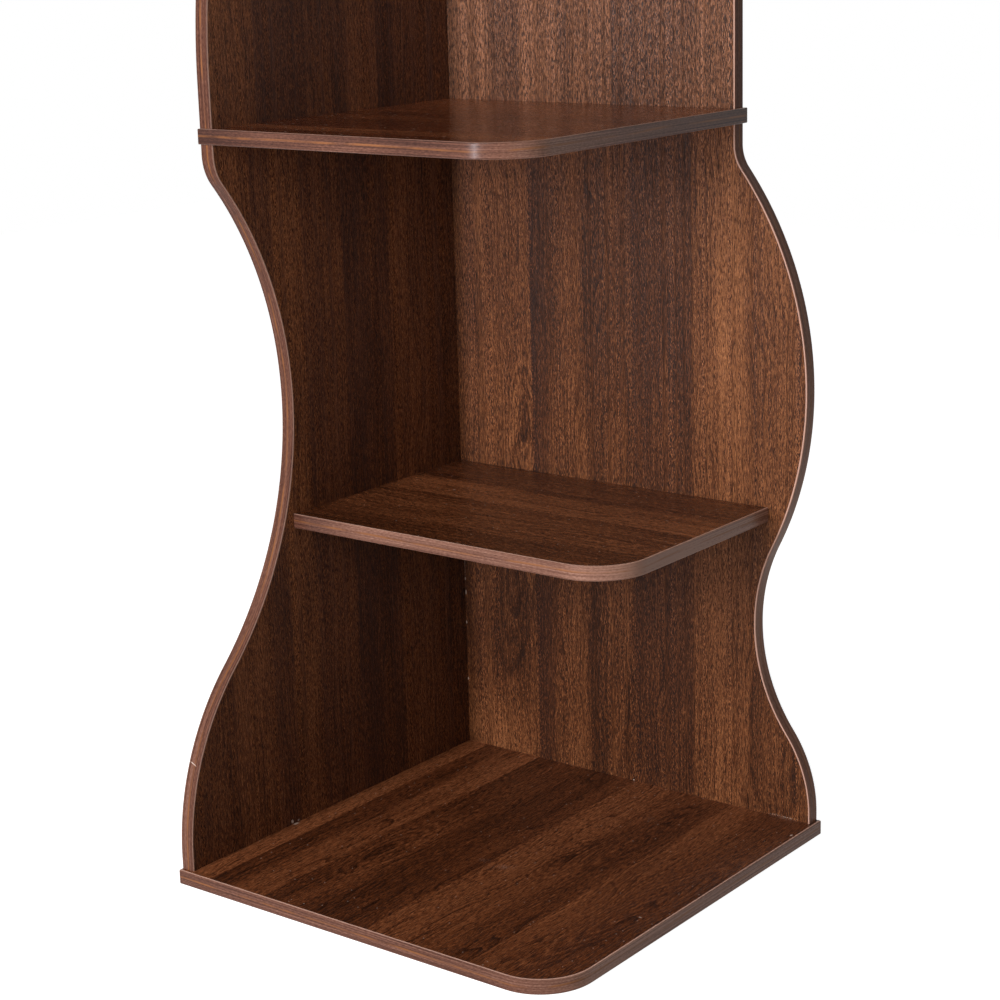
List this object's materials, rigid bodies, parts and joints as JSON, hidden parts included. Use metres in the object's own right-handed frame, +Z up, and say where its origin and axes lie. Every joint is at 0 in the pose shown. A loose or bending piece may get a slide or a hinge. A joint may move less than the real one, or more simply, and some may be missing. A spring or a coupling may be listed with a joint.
{
  "type": "corner shelf unit",
  "caption": "Free-standing corner shelf in five levels with round-fronted shelf boards between wave-edged side panels.",
  "frame": {"origin": "middle of the base board's underside, on the floor", "axes": "+X along the right-hand panels, +Y back towards the wall behind them, +Z up; the room's corner is at the left back"},
  "size_m": [0.5, 0.5, 1.578],
  "materials": {
    "left_panel_boards": "melamine-faced particleboard in dark walnut decor, satin, grain upright",
    "right_panel_boards": "melamine-faced particleboard in dark walnut decor, satin, grain upright",
    "shelf_boards": "melamine-faced particleboard in dark walnut decor, satin, grain level",
    "edge_band": "PVC edge band, brown, fine streaks along its length",
    "bolts": "zinc-plated steel",
    "cams": "die-cast zinc alloy, dull",
    "dowels": "turned beech, raw"
  },
  "bodies": {
    "root": {"base_board": "shelf_boards", "base_edge_band": "edge_band", "left_panel_lower": "left_panel_boards", "left_panel_lower_band": "edge_band", "right_panel_lower": "right_panel_boards", "right_panel_lower_band": "edge_band", "lower_shelf": "shelf_boards", "lower_shelf_band": "edge_band", "middle_board": "shelf_boards", "middle_edge_band": "edge_band", "left_panel_upper": "left_panel_boards", "left_panel_upper_band": "edge_band", "right_panel_upper": "right_panel_boards", "right_panel_upper_band": "edge_band", "upper_shelf": "shelf_boards", "upper_shelf_band": "edge_band", "top_board": "shelf_boards", "top_edge_band": "edge_band", "base_joint_bolts": "bolts", "base_joint_cams": "cams", "base_joint_dowels": "dowels", "lower_corner_bolts": "bolts", "lower_corner_cams": "cams", "lower_corner_dowels": "dowels", "lower_shelf_bolts": "bolts", "lower_shelf_cams": "cams", "lower_shelf_dowels": "dowels", "middle_joint_bolts": "bolts", "middle_joint_lower_cams": "cams", "middle_joint_upper_cams": "cams", "middle_joint_dowels": "dowels", "upper_corner_bolts": "bolts", "upper_corner_cams": "cams", "upper_corner_dowels": "dowels", "upper_shelf_bolts": "bolts", "upper_shelf_cams": "cams", "upper_shelf_dowels": "dowels", "top_joint_bolts": "bolts", "top_joint_cams": "cams", "top_joint_dowels": "dowels"}
  },
  "joints": []
}
